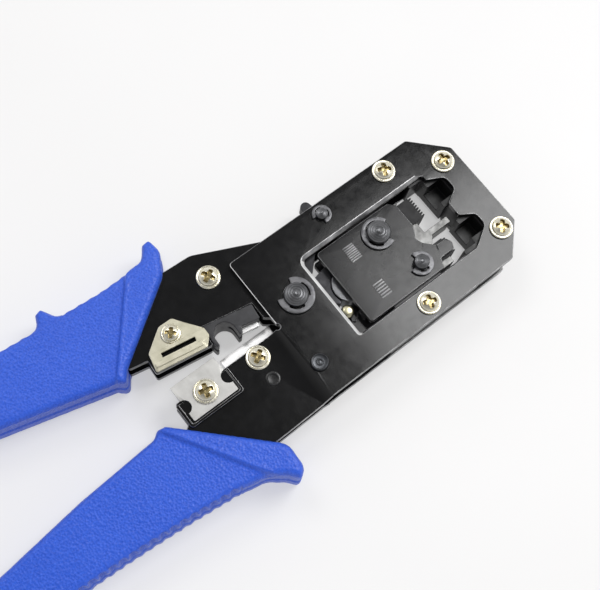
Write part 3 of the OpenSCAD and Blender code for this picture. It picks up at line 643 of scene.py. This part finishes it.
lower_outline = rounded([
    (-47.2, -38.9, 0), (-42, -39.9, 6), (-37, -43.6, 5), (-34.4, -47, 1.4), (-31, -44.5, 4),
    (-30.6, -35.5, 6), (-57.2, -8.6, 0.9), (-60.4, -8.2, 1.4), (-62.4, -9.7, 1), (-90, -11.6, 60),
    (-138.5, -17.6, 5), (-138.5, -32.4, 5), (-131.9, -32.4, 0)])
lower_outline += [Vector((-131 + 0.85 * i, grip_edge(-131 + 0.85 * i) + 0.05)) for i in range(98)]
upper_outline = rounded([
    (-58.9, 8.3, 1.5), (-56, 12.2, 3), (-29.4, 30.6, 6), (-25.2, 38, 5), (-26, 43.6, 1.3),
    (-29.3, 43.2, 1), (-32.4, 39, 3), (-48, 38.6, 20), (-63.4, 39.6, 3), (-66.4, 45, 1), (-69, 44.2, 0.8),
    (-71, 40, 2.5), (-80, 40.7, 20), (-136.4, 45.8, 5), (-138.4, 30.9, 5), (-61.6, 10.8, 1.5)])
lower_hollow = rounded([
    (-14, -4.9, 0), (-50.8, -4.9, 0.6), (-50.8, -12, 0.8), (-58, -17, 2), (-112, -17, 2),
    (-112, -29.5, 2), (-56, -29.5, 4), (-40, -33, 4), (-14, -32.6, 0)])
upper_hollow = rounded([
    (-24, 28, 0), (-18, 31.8, 0), (-34, 32.4, 2), (-112, 39.3, 2), (-112, 27.5, 2), (-60, 18.4, 2),
    (-55.4, 12.4, 0.6), (-48, 11, 0)])


def serrations(x, y, dz):
    """Scallops cut into the fixed grip's outer edge, deepest at the front."""
    if y > grip_edge(x) + 3 or x > -50 or x < -134:
        return 0.0
    return (0.4 + 1.3 * soft_step(dz, -1.0, 3.0)) * (0.5 - 0.5 * math.cos(2 * math.pi * x / 3.4))


def ripples(x, y, dz):
    """Shallow waves along the moving grip's outer edge, left off round its spur."""
    if y < 36 or x > -36 or -72 < x < -62:
        return 0.0
    return 0.28 * (0.5 - 0.5 * math.cos(2 * math.pi * x / 4.0))


grip("lower_grip", lower_outline, lower_hollow, ((-59.5, -9.5), (-43, -36.5), 1), serrations)
grip("upper_grip", upper_outline, upper_hollow, ((-60, 12.5), (-38, 38.8), -1), ripples)


# ---- Floor, light and camera ----

def floor():
    """A pale floor that glows a little, as the white backdrop in the photo does."""
    bm = bmesh.new()
    bmesh.ops.create_grid(bm, x_segments=24, y_segments=24, size=8.0)
    mesh = bpy.data.meshes.new("floor")
    bm.to_mesh(mesh)
    bm.free()
    obj = bpy.data.objects.new("floor", mesh)
    bpy.context.scene.collection.objects.link(obj)
    obj.location.z = -0.0001
    s = Shade("pale_floor", specular=0.2)
    s.colour(s.ramp(s.noise(6, 2), [(0.3, (0.44, 0.436, 0.436)), (0.7, (0.46, 0.456, 0.456))]))
    s.shader.inputs["Emission Color"].default_value = (1, 1, 1, 1)
    s.shader.inputs["Emission Strength"].default_value = 0.38
    s.rough(s.spread(s.noise(40, 2), 0.55, 0.65))
    mesh.materials.append(s.material)


def area(name, at, aim, size, power, glossy=True):
    """A rectangular softbox at a point in metres, turned to face another point."""
    light = bpy.data.lights.new(name, "AREA")
    light.shape, light.size, light.size_y = "RECTANGLE", size[0], size[1]
    light.energy = power
    obj = bpy.data.objects.new(name, light)
    obj.location = at
    obj.rotation_mode = "QUATERNION"
    obj.rotation_quaternion = (Vector(aim) - Vector(at)).to_track_quat("-Z", "Y")
    obj.visible_glossy = glossy
    bpy.context.scene.collection.objects.link(obj)


floor()
area("key", (-0.06, 0.56, 0.75), (0, 0, 0), (0.34, 0.34), 1.5)
area("fill", (-0.15, -0.15, 0.80), (0, 0, 0), (0.12, 0.12), 1.7, False)
area("sheen", (0.355, -0.025, 0.62), (0.05, 0.0, 0), (0.32, 0.32), 2.7)

world = bpy.data.worlds.new("studio")
world.use_nodes = True
sky = world.node_tree
coords = sky.nodes.new("ShaderNodeTexCoord")
axes = sky.nodes.new("ShaderNodeSeparateXYZ")
level = sky.nodes.new("ShaderNodeMapRange")
for key, value in (("From Min", 0.35), ("From Max", 0.9), ("To Min", 0.85), ("To Max", 0.20)):
    level.inputs[key].default_value = value
sky.links.new(coords.outputs["Generated"], axes.inputs["Vector"])
sky.links.new(axes.outputs["Z"], level.inputs["Value"])
sky.links.new(level.outputs["Result"], sky.nodes["Background"].inputs["Strength"])
sky.nodes["Background"].inputs["Color"].default_value = (1.0, 1.0, 1.0, 1)
bpy.context.scene.world = world
bpy.context.scene.view_settings.view_transform = "Standard"

camera = bpy.data.objects.new("camera", bpy.data.cameras.new("camera"))
camera.data.lens, camera.data.sensor_width = 60.0, 36.0
camera.data.clip_start, camera.data.clip_end = 0.01, 20.0
right = Vector((0.7825, -0.6173, 0.0817))
up = Vector((0.5669, 0.7605, 0.3168))
forward = Vector((0.2577, 0.2015, -0.945))
turned_to = Matrix((right, up, -forward)).transposed().to_4x4()
camera.matrix_world = Matrix.Translation((-0.0808, -0.0647, 0.3163)) @ turned_to
bpy.context.scene.collection.objects.link(camera)
bpy.context.scene.camera = camera
